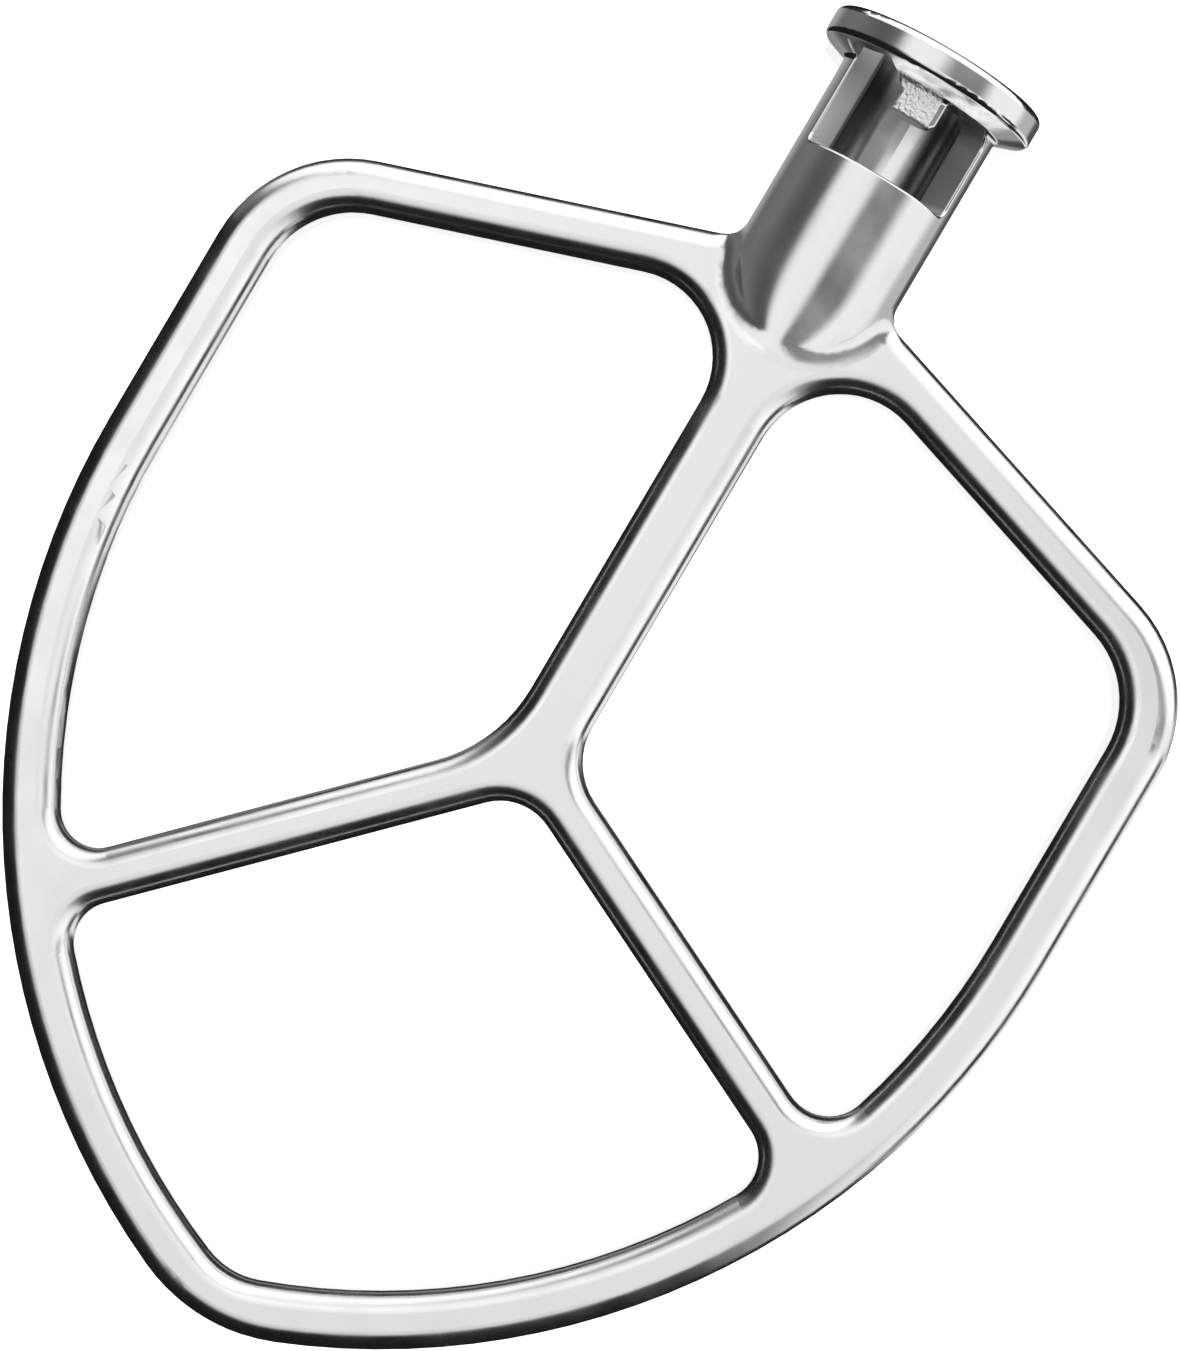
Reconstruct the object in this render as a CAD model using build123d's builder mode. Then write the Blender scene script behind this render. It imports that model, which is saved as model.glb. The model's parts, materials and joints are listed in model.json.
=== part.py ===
from build123d import *
from math import acos, atan2, cos, degrees, hypot, radians, sin, tan
import os

# Flat beater of a stand mixer, cast in one piece, lying on its back.
# It is drawn in its own frame first: X across, Y up the hub axis from the
# collar's top face, Z out of the front face, where the window is.

# Hub and collar
hub_r = 11.0
collar_r = 14.9
rim_height = 3.9
rim_round = 1.0
underside_drop = 1.5
underside_fillet = 0.9
dome_y = -31.3
bore_r = 6.6
bore_depth = 32.0
mouth_chamfer = 0.5

# Window with its entry channel, seat and tongue, whose widths follow the hub's radius
clock_angle = 6.3
half_turn = 42.7
rim_wall = 1.7
window_bottom = -17.5
seat_top = -5.3
seat_round = 2.8
window_round = 1.2
tongue_tip = -9.55
tongue_nip = 0.65
tongue_round = 0.7
flare_rise = 1.8
lip_r = 0.35
cut_overrun = 1.0
channel_w = 0.7 * hub_r
tongue_left = -0.25 * hub_r
tongue_right = 0.282 * hub_r
tongue_flare = 0.127 * hub_r

# Frame
plate_t = 6.4
edge_r = 2.6
arm_slope = 18.1
arm_top = -28.35
arm_w = 6.7
side_x = 69.3
side_w = 7.3
widest_y = -92.5
sweep_r = 98.6
tip_r = 24.5
corner_left_r = 19.3
corner_right_r = 18.5
post_w = 9.2
left_leg_y = -103.3
left_leg_slope = 45.3
left_leg_w = 6.85
left_leg_end = -42.0
leg_step = 0.95
right_leg_slope = 25.5
right_leg_w = 6.65
right_leg_end = 55.0
blend_r = 3.2

# Rounding of the corners of the frame's three openings
arm_corner_r = 12.4
hub_corner_r = 11.3
post_left_r = 19.8
post_right_r = 9.0
fork_r = 7.4
leg_end_left_r = 5.1
leg_end_right_r = 5.7
fork_left_r = 5.2
fork_right_r = 5.75
tip_inner_r = 10.4

front = Plane.XY
inside_x = side_x - side_w
inner_sweep_r = sweep_r - side_w
arm_inner = arm_top - arm_w / cos(radians(arm_slope))
cone_top = -rim_height
cone_foot = cone_top - underside_drop
cone_turn = atan2(collar_r - hub_r, underside_drop)
barrel_top = cone_foot - underside_fillet * tan(cone_turn / 2)
right_leg_y = left_leg_y + leg_step
post_end = left_leg_y - post_w / 4
left_end_y = left_leg_y + left_leg_end * tan(radians(left_leg_slope))
right_end_y = right_leg_y - right_leg_end * tan(radians(right_leg_slope))
tolerance = 0.001


# Plane through the hub axis that faces an angle turned from the front to the right
def facing(angle):
    turn = radians(angle)
    return Plane(origin=(0, 0, 0), x_dir=(cos(turn), 0, -sin(turn)), z_dir=(sin(turn), 0, cos(turn)))


# Right half of an outline: arm, side and the sweep down to the axis
def half_outline(top_y, x, radius):
    centre_x = side_x - sweep_r
    corner_y = top_y - x * tan(radians(arm_slope))
    Polyline((0, top_y), (x, corner_y), (x, widest_y))
    turn = degrees(acos(-centre_x / radius))
    CenterArc((centre_x, widest_y), radius, 0, -turn)


# The corner nearest to a point of the front plane
def nearest(corners, x, y):
    return corners.sort_by_distance((x, y, 0))[0]


# Whether a point is on the hub's surface within the frame's thickness
def on_seam(point):
    core_y = max(point.Y, dome_y)
    reach = hypot(point.X, point.Y - core_y, point.Z)
    return abs(reach - hub_r) < tolerance and abs(point.Z) < plate_t / 2 + tolerance


# Whether a point is on the barrel's surface beside the window
def on_barrel(point):
    beside = window_bottom - tolerance < point.Y < barrel_top + tolerance
    return beside and abs(hypot(point.X, point.Z) - hub_r) < tolerance


# Whether an edge is one of the window's or the tongue's on the barrel
def is_lip(edge):
    below_collar = (edge @ 0.5).Y < barrel_top - tolerance
    return below_collar and all(on_barrel(edge @ t) for t in (0, 0.5, 1))


# Frame's outer shape
with BuildSketch(front) as outer_shape:
    with BuildLine():
        half_outline(arm_top, side_x, sweep_r)
        mirror(about=Plane.YZ)
    make_face()
    for x, y, radius in (
        (0, widest_y - sweep_r, tip_r),
        (-side_x, arm_top, corner_left_r),
        (side_x, arm_top, corner_right_r),
    ):
        fillet(nearest(outer_shape.vertices(), x, y), radius)

# Three openings: left of the post, right of it, and below its two legs
with BuildSketch(front) as openings:
    with BuildLine():
        half_outline(arm_inner, inside_x, inner_sweep_r)
        mirror(about=Plane.YZ)
    make_face()
    Rectangle(post_w, -post_end, align=(Align.CENTER, Align.MAX), mode=Mode.SUBTRACT)
    for leg_y, leg_angle, leg_w in (
        (left_leg_y, 180 + left_leg_slope, left_leg_w),
        (right_leg_y, -right_leg_slope, right_leg_w),
    ):
        with Locations(Location((0, leg_y, 0), (0, 0, leg_angle))):
            Rectangle(side_x * 2, leg_w, align=(Align.MIN, Align.CENTER), mode=Mode.SUBTRACT)
    for x, y, radius in (
        (-inside_x, arm_inner, arm_corner_r),
        (-post_w / 2, arm_inner, hub_corner_r),
        (-post_w / 2, left_leg_y, post_left_r),
        (left_leg_end, left_end_y + left_leg_w, leg_end_left_r),
        (inside_x, arm_inner, arm_corner_r),
        (post_w / 2, arm_inner, hub_corner_r),
        (post_w / 2, right_leg_y, post_right_r),
        (right_leg_end, right_end_y + right_leg_w, leg_end_right_r),
        (0, left_leg_y - left_leg_w, fork_r),
        (left_leg_end, left_end_y - left_leg_w, fork_left_r),
        (right_leg_end, right_end_y - right_leg_w, fork_right_r),
        (0, widest_y - inner_sweep_r, tip_inner_r),
    ):
        fillet(nearest(openings.vertices(), x, y), radius)

# Hub profile from the axis outwards: collar, conical underside, barrel and dome
with BuildSketch(facing(90)) as hub_profile:
    with BuildLine():
        Polyline(
            (0, dome_y - hub_r),
            (0, 0),
            (collar_r, 0),
            (collar_r, cone_top),
            (hub_r, cone_foot),
            (hub_r, dome_y),
        )
        CenterArc((0, dome_y), hub_r, 0, -90)
    make_face()
    for y in (0, cone_top):
        fillet(nearest(hub_profile.vertices(), collar_r, y), rim_round)
    fillet(nearest(hub_profile.vertices(), hub_r, cone_foot), underside_fillet)

# Blind bore for the shaft, flared at its mouth
with BuildPart() as bore:
    with BuildSketch(facing(90)) as bore_profile:
        with BuildLine():
            Polyline(
                (0, 0),
                (0, -bore_depth),
                (bore_r, -bore_depth),
                (bore_r, -mouth_chamfer),
                (bore_r + mouth_chamfer, 0),
                close=True,
            )
        make_face()
    revolve(bore_profile.sketch, axis=Axis.Y)

# Window: the entry channel runs up through the collar, the seat ends under it,
# and the opening between them leaves the tongue standing
window_h = seat_top - window_bottom
window_mid = (seat_top + window_bottom) / 2
channel_reach = collar_r - rim_wall
turn_rad = radians(half_turn)
middle_w = (2 * hub_r * sin(turn_rad) - channel_w) / cos(turn_rad)
with BuildPart() as window:
    with BuildSketch(facing(clock_angle - half_turn)) as entry:
        with Locations((0, window_bottom)):
            Rectangle(channel_w, cut_overrun - window_bottom, align=(Align.CENTER, Align.MIN))
        fillet(entry.vertices().group_by(Axis.Y)[0].sort_by(Axis.X)[0], window_round)
    extrude(amount=channel_reach)
    with BuildSketch(facing(clock_angle + half_turn)) as seat:
        with Locations((0, window_mid)):
            Rectangle(channel_w, window_h)
        fillet(seat.vertices().group_by(Axis.Y)[0].sort_by(Axis.X)[-1], window_round)
        fillet(seat.vertices().group_by(Axis.Y)[-1].sort_by(Axis.X)[-1], seat_round)
    extrude(amount=channel_reach)
    with BuildSketch(facing(clock_angle)) as between:
        with Locations((0, window_mid)):
            Rectangle(middle_w, window_h)
        with BuildLine(mode=Mode.PRIVATE) as tongue_line:
            Polyline(
                (tongue_left - tongue_flare, 0),
                (tongue_left - tongue_flare, seat_top),
                (tongue_left, seat_top - flare_rise),
                (tongue_left, tongue_tip),
                (tongue_right - tongue_nip, tongue_tip),
                (tongue_right, tongue_tip + tongue_nip),
                (tongue_right, 0),
                close=True,
            )
        make_face(tongue_line.edges(), mode=Mode.SUBTRACT)
        fillet(nearest(between.vertices(), tongue_right, seat_top), tongue_round)
    extrude(amount=channel_reach)

# Frame and hub joined, with a blend all along their seam, then bored and cut,
# with the edges of the window and tongue eased
with BuildPart() as casting:
    with BuildSketch(front.offset(-plate_t / 2)):
        add(outer_shape.sketch)
        add(openings.sketch, mode=Mode.SUBTRACT)
    extrude(amount=plate_t)
    faces = casting.faces().sort_by(Axis.Z)
    fillet(faces[0].edges() + faces[-1].edges(), edge_r)
    revolve(hub_profile.sketch, axis=Axis.Y)
    seam = casting.edges().filter_by(lambda e: all(on_seam(e @ t) for t in (0, 0.5, 1)))
    fillet(seam, blend_r)
    add(bore.part, mode=Mode.SUBTRACT)
    add(window.part, mode=Mode.SUBTRACT)
    fillet(casting.edges().filter_by(is_lip), lip_r)

# Laid so that the collar's rim and the frame's tip rest on the floor
rim_y = rim_height - rim_round
rim_z = collar_r - rim_round
tip_y = -outer_shape.sketch.bounding_box().min.Y - edge_r
tip_z = plate_t / 2 - edge_r
level_y = tip_y - rim_y
level_z = rim_z - tip_z
lean = acos((edge_r - rim_round) / hypot(level_y, level_z)) - atan2(level_y, level_z)
tilted = Rot(degrees(lean), 0, 0) * casting.part
box = tilted.bounding_box()
with BuildPart() as flat_beater:
    with Locations((0, -box.center().Y, -box.min.Z)):
        add(tilted)

os.makedirs("parts", exist_ok=True)
flat_beater.part.label = "flat_beater"
export_step(flat_beater.part, "parts/flat_beater.step")
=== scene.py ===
import json
import math

import bpy
import bmesh
from mathutils import Matrix, Vector

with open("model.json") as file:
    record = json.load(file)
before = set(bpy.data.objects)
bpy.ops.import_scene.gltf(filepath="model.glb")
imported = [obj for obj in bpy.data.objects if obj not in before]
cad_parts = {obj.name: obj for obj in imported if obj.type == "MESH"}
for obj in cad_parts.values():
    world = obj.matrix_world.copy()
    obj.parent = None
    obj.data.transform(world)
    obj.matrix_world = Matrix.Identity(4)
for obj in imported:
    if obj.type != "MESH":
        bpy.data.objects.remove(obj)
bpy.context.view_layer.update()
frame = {"nodes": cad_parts, "record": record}
mm = 0.001

# node kinds and settings used all over
mathNode, vectorNode, rangeNode = "ShaderNodeMath", "ShaderNodeVectorMath", "ShaderNodeMapRange"
multiply, add, subtract = ({"operation": word} for word in ("MULTIPLY", "ADD", "SUBTRACT"))
larger, scaleAdd = ({"operation": word} for word in ("MAXIMUM", "MULTIPLY_ADD"))
dot, length, unit = ({"operation": word} for word in ("DOT_PRODUCT", "LENGTH", "NORMALIZE"))
smooth = {"interpolation_type": "SMOOTHSTEP"}


def linearColour(hexValue):
    # sRGB hex to linear RGBA
    channels = [int(hexValue[i:i + 2], 16) / 255 for i in (1, 3, 5)]
    linear = [c / 12.92 if c <= 0.04045 else ((c + 0.055) / 1.055) ** 2.4 for c in channels]
    return (*linear, 1.0)


def addNode(tree, kind, settings=None, inputs=None, output=0):
    # adds one node, sets its properties, then its sockets: a socket as value means a link
    node = tree.nodes.new(kind)
    for name, value in (settings or {}).items():
        setattr(node, name, value)
    for name, value in (inputs or {}).items():
        if isinstance(value, bpy.types.NodeSocket):
            tree.links.new(value, node.inputs[name])
        else:
            node.inputs[name].default_value = value
    return node.outputs[output] if node.outputs else node


def setStops(ramp, stops):
    # each stop is a place along the ramp and a grey level, both from 0 to 1
    while len(ramp.elements) > 1:
        ramp.elements.remove(ramp.elements[-1])
    for number, (position, level) in enumerate(stops):
        stop = ramp.elements.new(position) if number else ramp.elements[0]
        stop.position = position
        stop.color = (level, level, level, 1)


def newMaterial(name):
    material = bpy.data.materials.new(name)
    material.use_nodes = True
    material.node_tree.nodes.clear()
    return material, material.node_tree


def linkToScene(name, data, place=None):
    thing = bpy.data.objects.new(name, data)
    bpy.context.scene.collection.objects.link(thing)
    if place is not None:
        thing.matrix_world = place
    return thing


# the hub's own frame, from the bore that the record gives: x across, y up the axis, z out of the window
mount = frame["record"]["mounts"][0]
hub = {
    "boreMiddle": 16.25 * mm,      # from the collar's top face down to the middle of the bore
    "domeY": -31.3 * mm,           # where the barrel ends and its round foot starts
}
hubAxis = Vector(mount["axis"]).normalized()
hubOrigin = Vector(mount["pos_m"]) + hubAxis * hub["boreMiddle"]
across = Vector((1, 0, 0))
hubTurn = Matrix((across, hubAxis, across.cross(hubAxis))).transposed().to_4x4()
hubFrame = Matrix.Translation(hubOrigin) @ hubTurn
lean = math.atan2(hubAxis.z, hubAxis.y)


# camera, placed from the hub's frame
view = {
    "aimX": 1.02 * mm,      # the point it looks at
    "aimY": -89.70 * mm,
    "distance": 530 * mm,
    "aside": 5.09,          # degrees to the right of square
    "above": 0.35,
    "roll": 30.63,
    "focalPixels": 4161,
    "imageHeight": 1351,    # pixels
    "sensor": 36,           # mm
    "nearest": 0.01,        # metres that it still sees
    "farthest": 20,
}


def makeCamera():
    aside, above, roll = (math.radians(view[k]) for k in ("aside", "above", "roll"))
    level = math.cos(above)
    back = Vector((math.sin(aside) * level, math.sin(above), math.cos(aside) * level))
    upward = Vector((-math.sin(roll), math.cos(roll), 0))
    upward = (upward - back * upward.dot(back)).normalized()
    place = Vector((view["aimX"], view["aimY"], 0)) + back * view["distance"]
    turn = Matrix((upward.cross(back), upward, back)).transposed().to_4x4()
    data = bpy.data.cameras.new("photoCamera")
    data.sensor_width = view["sensor"]
    data.lens = view["focalPixels"] * view["sensor"] / view["imageHeight"]
    data.clip_start, data.clip_end = view["nearest"], view["farthest"]
    lookout = linkToScene("photoCamera", data, hubFrame @ Matrix.Translation(place) @ turn)
    bpy.context.scene.camera = lookout
    return lookout


camera = makeCamera()
bpy.context.view_layer.update()
cameraTurn = camera.matrix_world.to_3x3().to_4x4()
print("camera at", [round(v, 4) for v in camera.matrix_world.translation])


# floor, world and one soft lamp from over the camera: together they light white as white
room = {
    "floorSize": 6.0,
    "floorColour": "#ffffff",
    "floorLift": 0.8,       # glow that takes the paper to white for the camera
    "worldLevel": 0.12,
    "lampLevel": 0.92,
    "lampAngle": 6,         # degrees, how soft the lamp's shadow is
}


def makeFloor():
    mesh = bpy.data.meshes.new("floor")
    half = room["floorSize"] / 2
    corners = [(-half, -half, 0), (half, -half, 0), (half, half, 0), (-half, half, 0)]
    mesh.from_pydata(corners, [], [(0, 1, 2, 3)])
    floor = linkToScene("floor", mesh)
    # uncoated paper, rolled smooth: matt white without any shine
    material, tree = newMaterial("rolledWhitePaper")
    colour = linearColour(room["floorColour"])
    paper = addNode(tree, "ShaderNodeBsdfDiffuse", None, {"Color": colour})
    # lifted to white for the camera and in reflections, over the shadow that the floor keeps
    rays = addNode(tree, "ShaderNodeLightPath").node.outputs
    seen = addNode(tree, mathNode, larger, {0: rays["Is Camera Ray"], 1: rays["Is Glossy Ray"]})
    seen = addNode(tree, mathNode, larger, {0: seen, 1: rays["Is Transmission Ray"]})
    lift = addNode(tree, mathNode, multiply, {0: seen, 1: room["floorLift"]})
    lift = addNode(tree, "ShaderNodeEmission", None, {"Color": colour, "Strength": lift})
    paper = addNode(tree, "ShaderNodeAddShader", None, {0: paper, 1: lift})
    addNode(tree, "ShaderNodeOutputMaterial", None, {"Surface": paper})
    material.cycles.emission_sampling = "NONE"
    mesh.materials.append(material)
    floor.visible_glossy = False        # the steel mirrors the tent in its place


def makeLight():
    world = bpy.data.worlds.new("plainRoom")
    bpy.context.scene.world = world
    world.use_nodes = True
    tree = world.node_tree
    tree.nodes.clear()
    glow = addNode(tree, "ShaderNodeBackground", None,
                   {"Color": (1, 1, 1, 1), "Strength": room["worldLevel"]})
    addNode(tree, "ShaderNodeOutputWorld", None, {"Surface": glow})
    lamp = bpy.data.lights.new("softLamp", "SUN")
    lamp.energy = room["lampLevel"] * math.pi
    lamp.angle = math.radians(room["lampAngle"])
    linkToScene("softLamp", lamp, cameraTurn).visible_glossy = False


# the studio that the metal mirrors: only reflections see it
studio = {
    "tentRadius": 4.0,
    "tentFineness": 4,
    "overhead": 0.95,       # what a level face mirrors
    "softboxes": 1.31,
    "flag": 0.012,          # black felt still gives a little light
    "beyondTop": 0.2,       # faint light low down past the top of the picture
    # each zone is a smooth step of how far the direction reaches along a vector, with x to the
    # right, y up and z towards the camera
    "zones": {
        "rightBox": ((1, 0.45, 0), -0.03, 0.72),
        "topBox": ((-1, 1.3, 0), 0.26, 0.52),
        "lowerLeft": ((-0.853, -0.5225, 0), 0.02, 0.14),
        "lower": ((0.5, -0.866, 0), 0.25, 0.60),
        "beyondTop": ((0, 1, 0), 0.84, 0.97),
        "aboveHorizon": ((0, 0, 1), -0.30, -0.20),
        "wellBelow": ((0, 0, 1), -0.32, -0.42),
        "farAbove": ((0, 0, 1), 0.10, 0.22),
    },
    "flagEdge": (0.955, 0.70),      # height where the dark flag starts and is full
    "flagReach": 0.19,              # how much nearer to the camera's axis it comes below
    "wedgeAhead": (0.819, -0.574, 0),       # where the pale wedge points, and square to that
    "wedgeAside": (0.574, 0.819, 0),
    "wedgeTaper": 2.6,
    "wedgeEdge": (0.14, 0.26),
}


def hideButInReflections(thing):
    thing.visible_camera = thing.visible_diffuse = thing.visible_transmission = False
    thing.visible_volume_scatter = thing.visible_shadow = False


def makeTent():
    # a hollow ball, turned as the camera is
    mesh = bpy.data.meshes.new("studioTent")
    shape = bmesh.new()
    bmesh.ops.create_icosphere(shape, subdivisions=studio["tentFineness"], radius=studio["tentRadius"])
    bmesh.ops.reverse_faces(shape, faces=shape.faces)
    shape.to_mesh(mesh)
    shape.free()
    tent = linkToScene("studioTent", mesh, cameraTurn)
    # woven nylon lit from behind, with black felt flags: white shapes with dark edges in the steel
    material, tree = newMaterial("wovenNylonAndFelt")
    place = addNode(tree, "ShaderNodeTexCoord", output="Object")
    direction = addNode(tree, vectorNode, unit, {0: place})
    level = {}
    for name, (axis, low, high) in studio["zones"].items():
        reach = addNode(tree, vectorNode, dot, {0: direction, 1: axis}, "Value")
        level[name] = addNode(tree, rangeNode, smooth, {0: reach, 1: low, 2: high})
    boxes = addNode(tree, mathNode, larger, {0: level["rightBox"], 1: level["topBox"]})
    lit = {0: boxes, 3: studio["overhead"], 4: studio["softboxes"]}
    bright = addNode(tree, rangeNode, None, lit)
    # dark flag on the left and below, which comes nearer to the camera's axis below
    height = addNode(tree, vectorNode, dot, {0: direction, 1: (0, 0, 1)}, "Value")
    height = addNode(tree, mathNode, scaleAdd, {0: level["lower"], 1: -studio["flagReach"], 2: height})
    low, high = studio["flagEdge"]
    flag = addNode(tree, rangeNode, smooth, {0: height, 1: low, 2: high})
    flag = addNode(tree, mathNode, multiply, {0: flag, 1: level["lowerLeft"]})
    # a pale wedge under the horizon at the lower right, with a dark edge above it
    ahead = addNode(tree, vectorNode, dot, {0: direction, 1: studio["wedgeAhead"]}, "Value")
    aside = addNode(tree, vectorNode, dot, {0: direction, 1: studio["wedgeAside"]}, "Value")
    aside = addNode(tree, mathNode, {"operation": "ABSOLUTE"}, {0: aside})
    wedge = addNode(tree, mathNode, scaleAdd, {0: aside, 1: -studio["wedgeTaper"], 2: ahead})
    low, high = studio["wedgeEdge"]
    wedge = addNode(tree, rangeNode, smooth, {0: wedge, 1: low, 2: high})
    rim = addNode(tree, mathNode, subtract, {0: 1.0, 1: level["farAbove"]})
    rim = addNode(tree, mathNode, multiply, {0: rim, 1: wedge})
    dark = addNode(tree, mathNode, larger, {0: flag, 1: rim})
    upper = addNode(tree, mathNode, subtract, {0: 1.0, 1: dark})
    upper = addNode(tree, mathNode, multiply, {0: upper, 1: bright})
    upper = addNode(tree, mathNode, multiply, {0: upper, 1: level["aboveHorizon"]})
    under = addNode(tree, mathNode, multiply, {0: level["beyondTop"], 1: studio["beyondTop"]})
    under = addNode(tree, mathNode, larger, {0: under, 1: wedge})
    under = addNode(tree, mathNode, multiply, {0: under, 1: level["wellBelow"]})
    strength = addNode(tree, mathNode, larger, {0: upper, 1: under})
    strength = addNode(tree, mathNode, larger, {0: strength, 1: studio["flag"]})
    glow = addNode(tree, "ShaderNodeEmission", None, {"Color": (1, 1, 1, 1), "Strength": strength})
    addNode(tree, "ShaderNodeOutputMaterial", None, {"Surface": glow})
    material.cycles.emission_sampling = "NONE"
    mesh.materials.append(material)
    hideButInReflections(tent)


# a striped backdrop arched high over the set, square to the hub's axis: the round hub mirrors
# all of its stripes, and the flat frame hardly any
archSizes = {
    "radius": 400 * mm,
    "columns": 120,
    # up the hub's axis, and how solid the backdrop is there
    "rows": [(-14 * mm, 0), (-2 * mm, 1), (78 * mm, 1), (100 * mm, 0)],
    "brightest": 1.25,
    # degrees from the front towards the right, and how bright
    "stripes": [
        (-180, 0.42), (-146, 0.42), (-124, 0.17), (-98, 0.19), (-58, 0.10), (-45, 0.11),
        (-29, 1.04), (3, 1.02), (18, 0.18), (48, 0.18), (68, 1.04), (104, 1.07),
        (120, 0.55), (138, 0.55), (150, 0.08), (168, 0.08), (177, 0.42), (180, 0.42),
    ],
}


def makeArch():
    corners, faces, turns, solids = [], [], [], []
    rows = len(archSizes["rows"])
    for k in range(archSizes["columns"] + 1):
        turn = -180 + 360 * k / archSizes["columns"]
        x = archSizes["radius"] * math.sin(math.radians(turn))
        z = archSizes["radius"] * math.cos(math.radians(turn))
        for y, solid in archSizes["rows"]:
            corners.append((x, y, z))
            turns.append(turn)
            solids.append(solid)
        if k:
            first = rows * (k - 1)
            faces += [(i, i + 1, i + rows + 1, i + rows) for i in range(first, first + rows - 1)]
    mesh = bpy.data.meshes.new("backdropArch")
    mesh.from_pydata(corners, [], faces)
    mesh.attributes.new("turn", "FLOAT", "POINT").data.foreach_set("value", turns)
    mesh.attributes.new("solid", "FLOAT", "POINT").data.foreach_set("value", solids)
    arch = linkToScene("backdropArch", mesh, hubFrame)
    # printed cotton, lit from behind: light and grey stripes that run up the round hub
    material, tree = newMaterial("printedCotton")
    turn = addNode(tree, "ShaderNodeAttribute", {"attribute_name": "turn"}, None, "Fac")
    along = addNode(tree, rangeNode, None, {0: turn, 1: -180, 2: 180})
    tone = addNode(tree, "ShaderNodeValToRGB", None, {0: along})
    tone.node.color_ramp.interpolation = "EASE"
    brightest = archSizes["brightest"]
    stripes = [((angle + 180) / 360, level / brightest) for angle, level in archSizes["stripes"]]
    setStops(tone.node.color_ramp, stripes)
    glow = addNode(tree, "ShaderNodeEmission", None, {"Color": tone, "Strength": brightest})
    clear = addNode(tree, "ShaderNodeBsdfTransparent")
    solid = addNode(tree, "ShaderNodeAttribute", {"attribute_name": "solid"}, None, "Fac")
    both = addNode(tree, "ShaderNodeMixShader", None, {0: solid, 1: clear, 2: glow})
    addNode(tree, "ShaderNodeOutputMaterial", None, {"Surface": both})
    material.cycles.emission_sampling = "NONE"
    mesh.materials.append(material)
    hideButInReflections(arch)


bpy.context.scene.view_settings.view_transform = "Standard"
makeFloor()
makeLight()
makeTent()
makeArch()
print("stage made")


# cast stainless steel: the frame is buffed, the hub polished along its length and the window's
# walls left as milled, so the frame shows broad white shapes with dark edges, the hub bright and
# grey stripes along its axis, and the window dull greys, with painted shade in its colour
steel = {
    "colour": "#e6e6e7",
    "frameRoughness": 0.23,
    "hubRoughness": 0.16,
    "wallRoughness": 0.45,
    "boreRoughness": 0.22,
    "tongueRoughness": 0.34,
    "roughnessPlay": 0.05,
    "patchSize": 7.7 * mm,         # patches of more and less polish
    "patchReach": (0.3, 0.7),      # the noise values that take the whole play
    "waveLength": 9 * mm,          # the buffed frame's slow waves
    "waveHeight": 0.03 * mm,
    "strokeWidth": 3.5 * mm,       # hand polishing up and down the barrel
    "strokeLength": 26 * mm,
    "strokeHeight": 0.08 * mm,
    "ringWidth": 0.5 * mm,         # turning marks on the collar's top face, coarse so that they show
    "ringHeight": 0.03 * mm,
    "grainSize": 0.45 * mm,        # coarser than real polishing marks, too fine for a picture
    "grainHeight": 0.0035 * mm,
    "castSize": 0.55 * mm,         # the tongue's grainy cast skin
    "castHeight": 0.35 * mm,
    "domeLift": 0.02,              # how far the dome's polish leans up the hub
    "insideReach": 10,             # mm to each side of the axis that the next list covers
    # inside the window: mm across, and the share of the steel's colour that painted shade leaves there
    "windowPaintedShade": [
        (-10, 0.95), (-6.8, 0.98), (-6.6, 0.24), (-5.3, 0.24), (-4.4, 1),
        (2.6, 1), (3.5, 0.26), (5.3, 0.16), (5.9, 0.5), (10, 0.6),
    ],
    # where each finish lies: what is measured, where it starts and where it is full
    "zones": {
        "barrel": ("reach", 14.5 * mm, 11.6 * mm),
        "collar": ("y", -6.2 * mm, -5.2 * mm),
        "wall": ("radius", 10.80 * mm, 10.65 * mm),
        "overWindow": ("y", -30 * mm, -29 * mm),
        "bore": ("radius", 6.75 * mm, 6.65 * mm),
        "overFloor": ("y", -33 * mm, -32.5 * mm),
        "dome": ("y", -27 * mm, -31.2 * mm),
        "brim": ("radius", 11.1 * mm, 11.6 * mm),
        "underBrim": ("y", -3.8 * mm, -4.1 * mm),
        "aboveFrame": ("y", -9 * mm, -7 * mm),
        "face": ("y", -0.5 * mm, -0.1 * mm),
        "tongueLeft": ("x", -6.2 * mm, -5.6 * mm),
        "tongueRight": ("x", 3.6 * mm, 3.3 * mm),
        "tongueLow": ("y", -9.7 * mm, -9.5 * mm),
        "tongueHigh": ("y", -4.9 * mm, -5.3 * mm),
        "tongueFront": ("z", 8.8 * mm, 9.4 * mm),
    },
}


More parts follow.
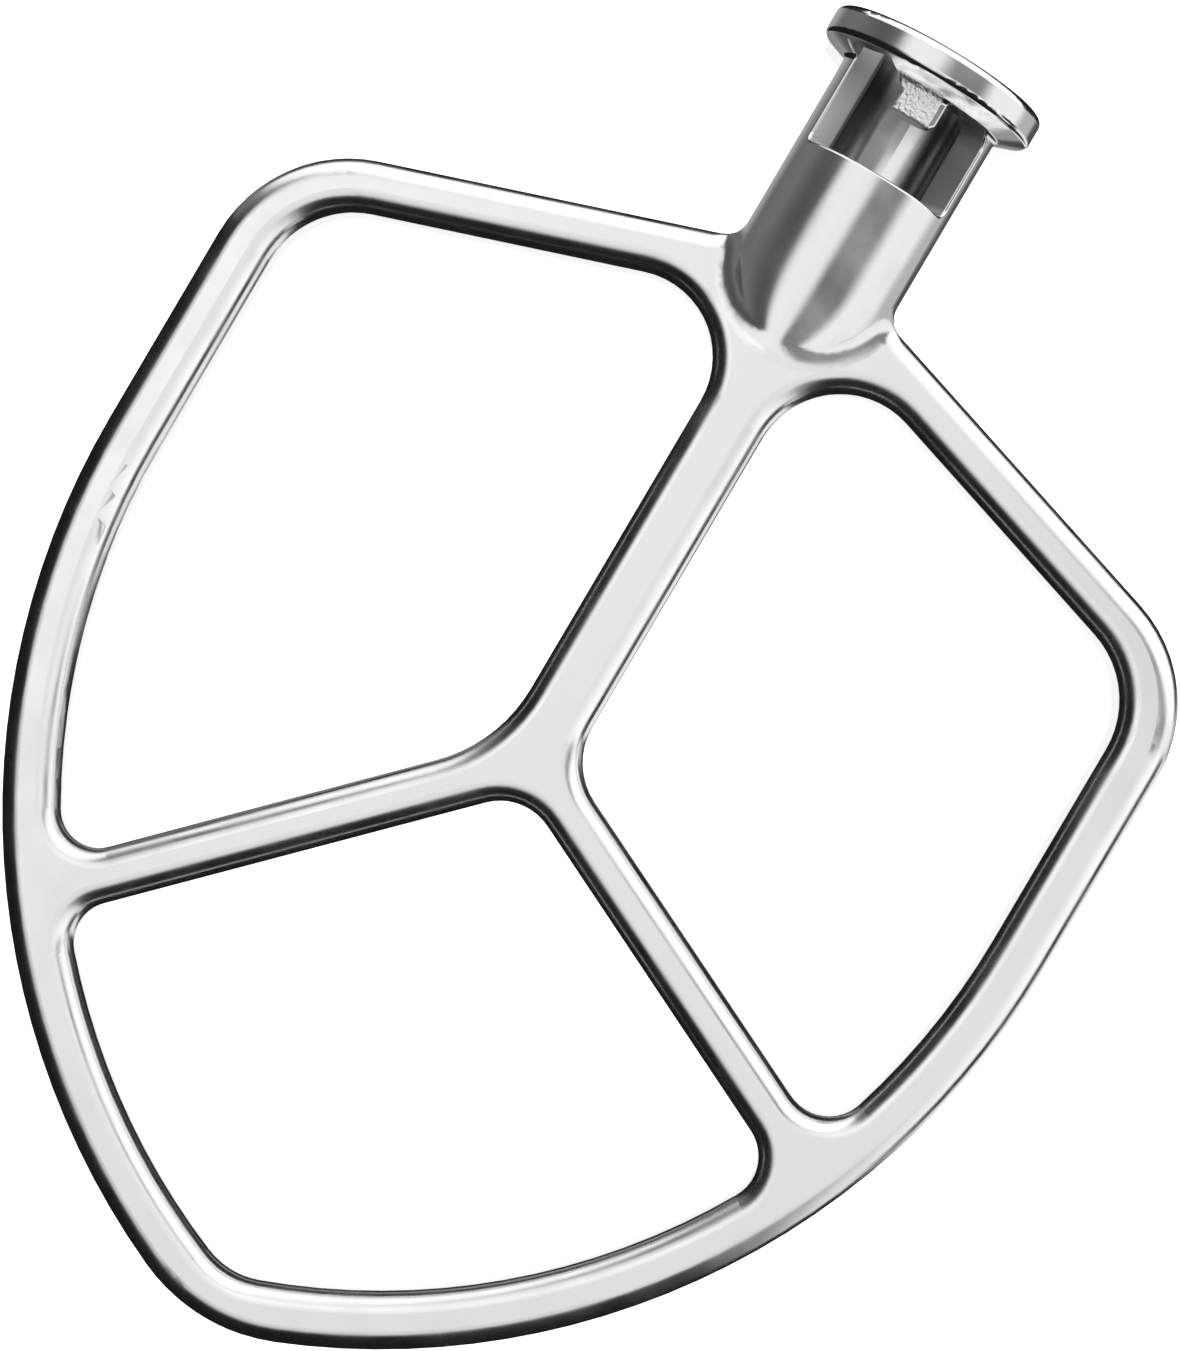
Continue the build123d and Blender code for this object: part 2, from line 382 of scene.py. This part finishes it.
def makeSteel():
    material, tree = newMaterial("polishedCastStainless")
    place = addNode(tree, "ShaderNodeTexCoord", output="Object")
    local = addNode(tree, "ShaderNodeMapping", {"vector_type": "TEXTURE"},
                    {"Vector": place, "Location": hubOrigin, "Rotation": (lean, 0, 0)})
    x, y, z = addNode(tree, "ShaderNodeSeparateXYZ", None, {0: local}).node.outputs
    flat = addNode(tree, vectorNode, multiply, {0: local, 1: (1, 0, 1)})
    radius = addNode(tree, vectorNode, length, {0: flat}, "Value")
    # distance from the barrel's axis, and below the barrel from the middle of its round foot
    core = addNode(tree, mathNode, larger, {0: y, 1: hub["domeY"]})
    core = addNode(tree, "ShaderNodeCombineXYZ", None, {"Y": core})
    core = addNode(tree, vectorNode, subtract, {0: local, 1: core})
    reach = addNode(tree, vectorNode, length, {0: core}, "Value")
    measures = {"x": x, "y": y, "z": z, "radius": radius, "reach": reach}
    part = {}
    for name, (measure, low, high) in steel["zones"].items():
        part[name] = addNode(tree, rangeNode, smooth, {0: measures[measure], 1: low, 2: high})
    onHub = addNode(tree, mathNode, larger, {0: part["barrel"], 1: part["collar"]})
    inside = addNode(tree, mathNode, multiply, {0: part["wall"], 1: part["overWindow"]})
    inBore = addNode(tree, mathNode, multiply, {0: part["bore"], 1: part["overFloor"]})
    onDome = addNode(tree, mathNode, multiply, {0: part["barrel"], 1: part["dome"]})
    onTongue = part["tongueLeft"]
    for name in ("tongueRight", "tongueLow", "tongueHigh", "tongueFront"):
        onTongue = addNode(tree, mathNode, multiply, {0: onTongue, 1: part[name]})

    # patches of more and less polish
    patches = addNode(tree, "ShaderNodeTexNoise", None,
                      {"Vector": local, "Scale": 1 / steel["patchSize"], "Detail": 3})
    roughness = steel["frameRoughness"]
    for where, value in (
        (onHub, "hubRoughness"),
        (inside, "wallRoughness"),
        (inBore, "boreRoughness"),
        (onTongue, "tongueRoughness"),
    ):
        roughness = addNode(tree, "ShaderNodeMix", None, {0: where, 2: roughness, 3: steel[value]})
    least, most = steel["patchReach"]
    play = steel["roughnessPlay"]
    play = addNode(tree, rangeNode, None, {0: patches, 1: least, 2: most, 3: -play, 4: play})
    roughness = addNode(tree, mathNode, add, {0: roughness, 1: play})

    # painted shade inside the window: the steel's colour is darkened in strips at the bore's edges and
    # over the right-hand wall
    half = steel["insideReach"]
    inX = addNode(tree, rangeNode, None, {0: x, 1: -half * mm, 2: half * mm})
    paintedShadeTones = addNode(tree, "ShaderNodeValToRGB", None, {0: inX})
    shares = [((at + half) / (2 * half), share) for at, share in steel["windowPaintedShade"]]
    setStops(paintedShadeTones.node.color_ramp, shares)
    within = addNode(tree, mathNode, larger, {0: inside, 1: inBore})
    paintedShadeTones = addNode(tree, "ShaderNodeMix", {"data_type": "RGBA", "blend_type": "MULTIPLY"},
                    {0: within, 6: linearColour(steel["colour"]), 7: paintedShadeTones}, 2)

    # the polish runs straight on down over the dome and under the brim, and so does the shine
    onUnderside = addNode(tree, mathNode, multiply, {0: part["brim"], 1: part["underBrim"]})
    onUnderside = addNode(tree, mathNode, multiply, {0: onUnderside, 1: part["aboveFrame"]})
    straight = addNode(tree, mathNode, larger, {0: onDome, 1: onUnderside})
    normal = addNode(tree, "ShaderNodeNewGeometry", output="Normal")
    normal = addNode(tree, "ShaderNodeVectorTransform", {"vector_type": "NORMAL"}, {0: normal})
    along = addNode(tree, vectorNode, dot, {0: normal, 1: hubAxis}, "Value")
    along = addNode(tree, mathNode, subtract, {0: steel["domeLift"], 1: along})
    along = addNode(tree, mathNode, multiply, {0: along, 1: straight})
    shift = addNode(tree, vectorNode, {"operation": "SCALE"}, {0: hubAxis, "Scale": along})
    normal = addNode(tree, vectorNode, add, {0: normal, 1: shift})
    outward = {"vector_type": "NORMAL", "convert_from": "OBJECT", "convert_to": "WORLD"}
    normal = addNode(tree, "ShaderNodeVectorTransform", outward, {0: normal})
    normal = addNode(tree, vectorNode, unit, {0: normal})

    # relief: waves on the frame, strokes along the barrel, rings on the collar's top face, grain
    # all over and cast skin on the tongue
    waves, grain, skin = (
        addNode(tree, "ShaderNodeTexNoise", None,
                {"Vector": local, "Scale": 1 / steel[size], "Detail": detail})
        for size, detail in (("waveLength", 2), ("grainSize", 4), ("castSize", 3))
    )
    stroke = (1 / steel["strokeWidth"], 1 / steel["strokeLength"], 1 / steel["strokeWidth"])
    stroke = addNode(tree, vectorNode, multiply, {0: local, 1: stroke})
    strokes = addNode(tree, "ShaderNodeTexNoise", None, {"Vector": stroke, "Scale": 1.0, "Detail": 0})
    offHub = addNode(tree, mathNode, subtract, {0: 1.0, 1: onHub})
    onBarrel = addNode(tree, mathNode, larger, {0: onDome, 1: part["face"]})
    onBarrel = addNode(tree, mathNode, subtract, {0: onHub, 1: onBarrel})
    rings = addNode(tree, "ShaderNodeTexNoise", {"noise_dimensions": "1D"},
                    {"W": radius, "Scale": 1 / steel["ringWidth"], "Detail": 2})
    for height, where, depth in (
        (waves, offHub, "waveHeight"),
        (strokes, onBarrel, "strokeHeight"),
        (rings, part["face"], "ringHeight"),
        (grain, 1.0, "grainHeight"),
        (skin, onTongue, "castHeight"),
    ):
        normal = addNode(tree, "ShaderNodeBump", None,
                         {"Height": height, "Strength": where, "Distance": steel[depth], "Normal": normal})
    shader = addNode(tree, "ShaderNodeBsdfPrincipled", None, {
        "Base Color": paintedShadeTones, "Metallic": 1.0, "Roughness": roughness, "Normal": normal})
    addNode(tree, "ShaderNodeOutputMaterial", None, {"Surface": shader})
    return material


beater = frame["nodes"]["flat_beater"]
beater.data.materials.clear()
beater.data.materials.append(makeSteel())
print("steel made")
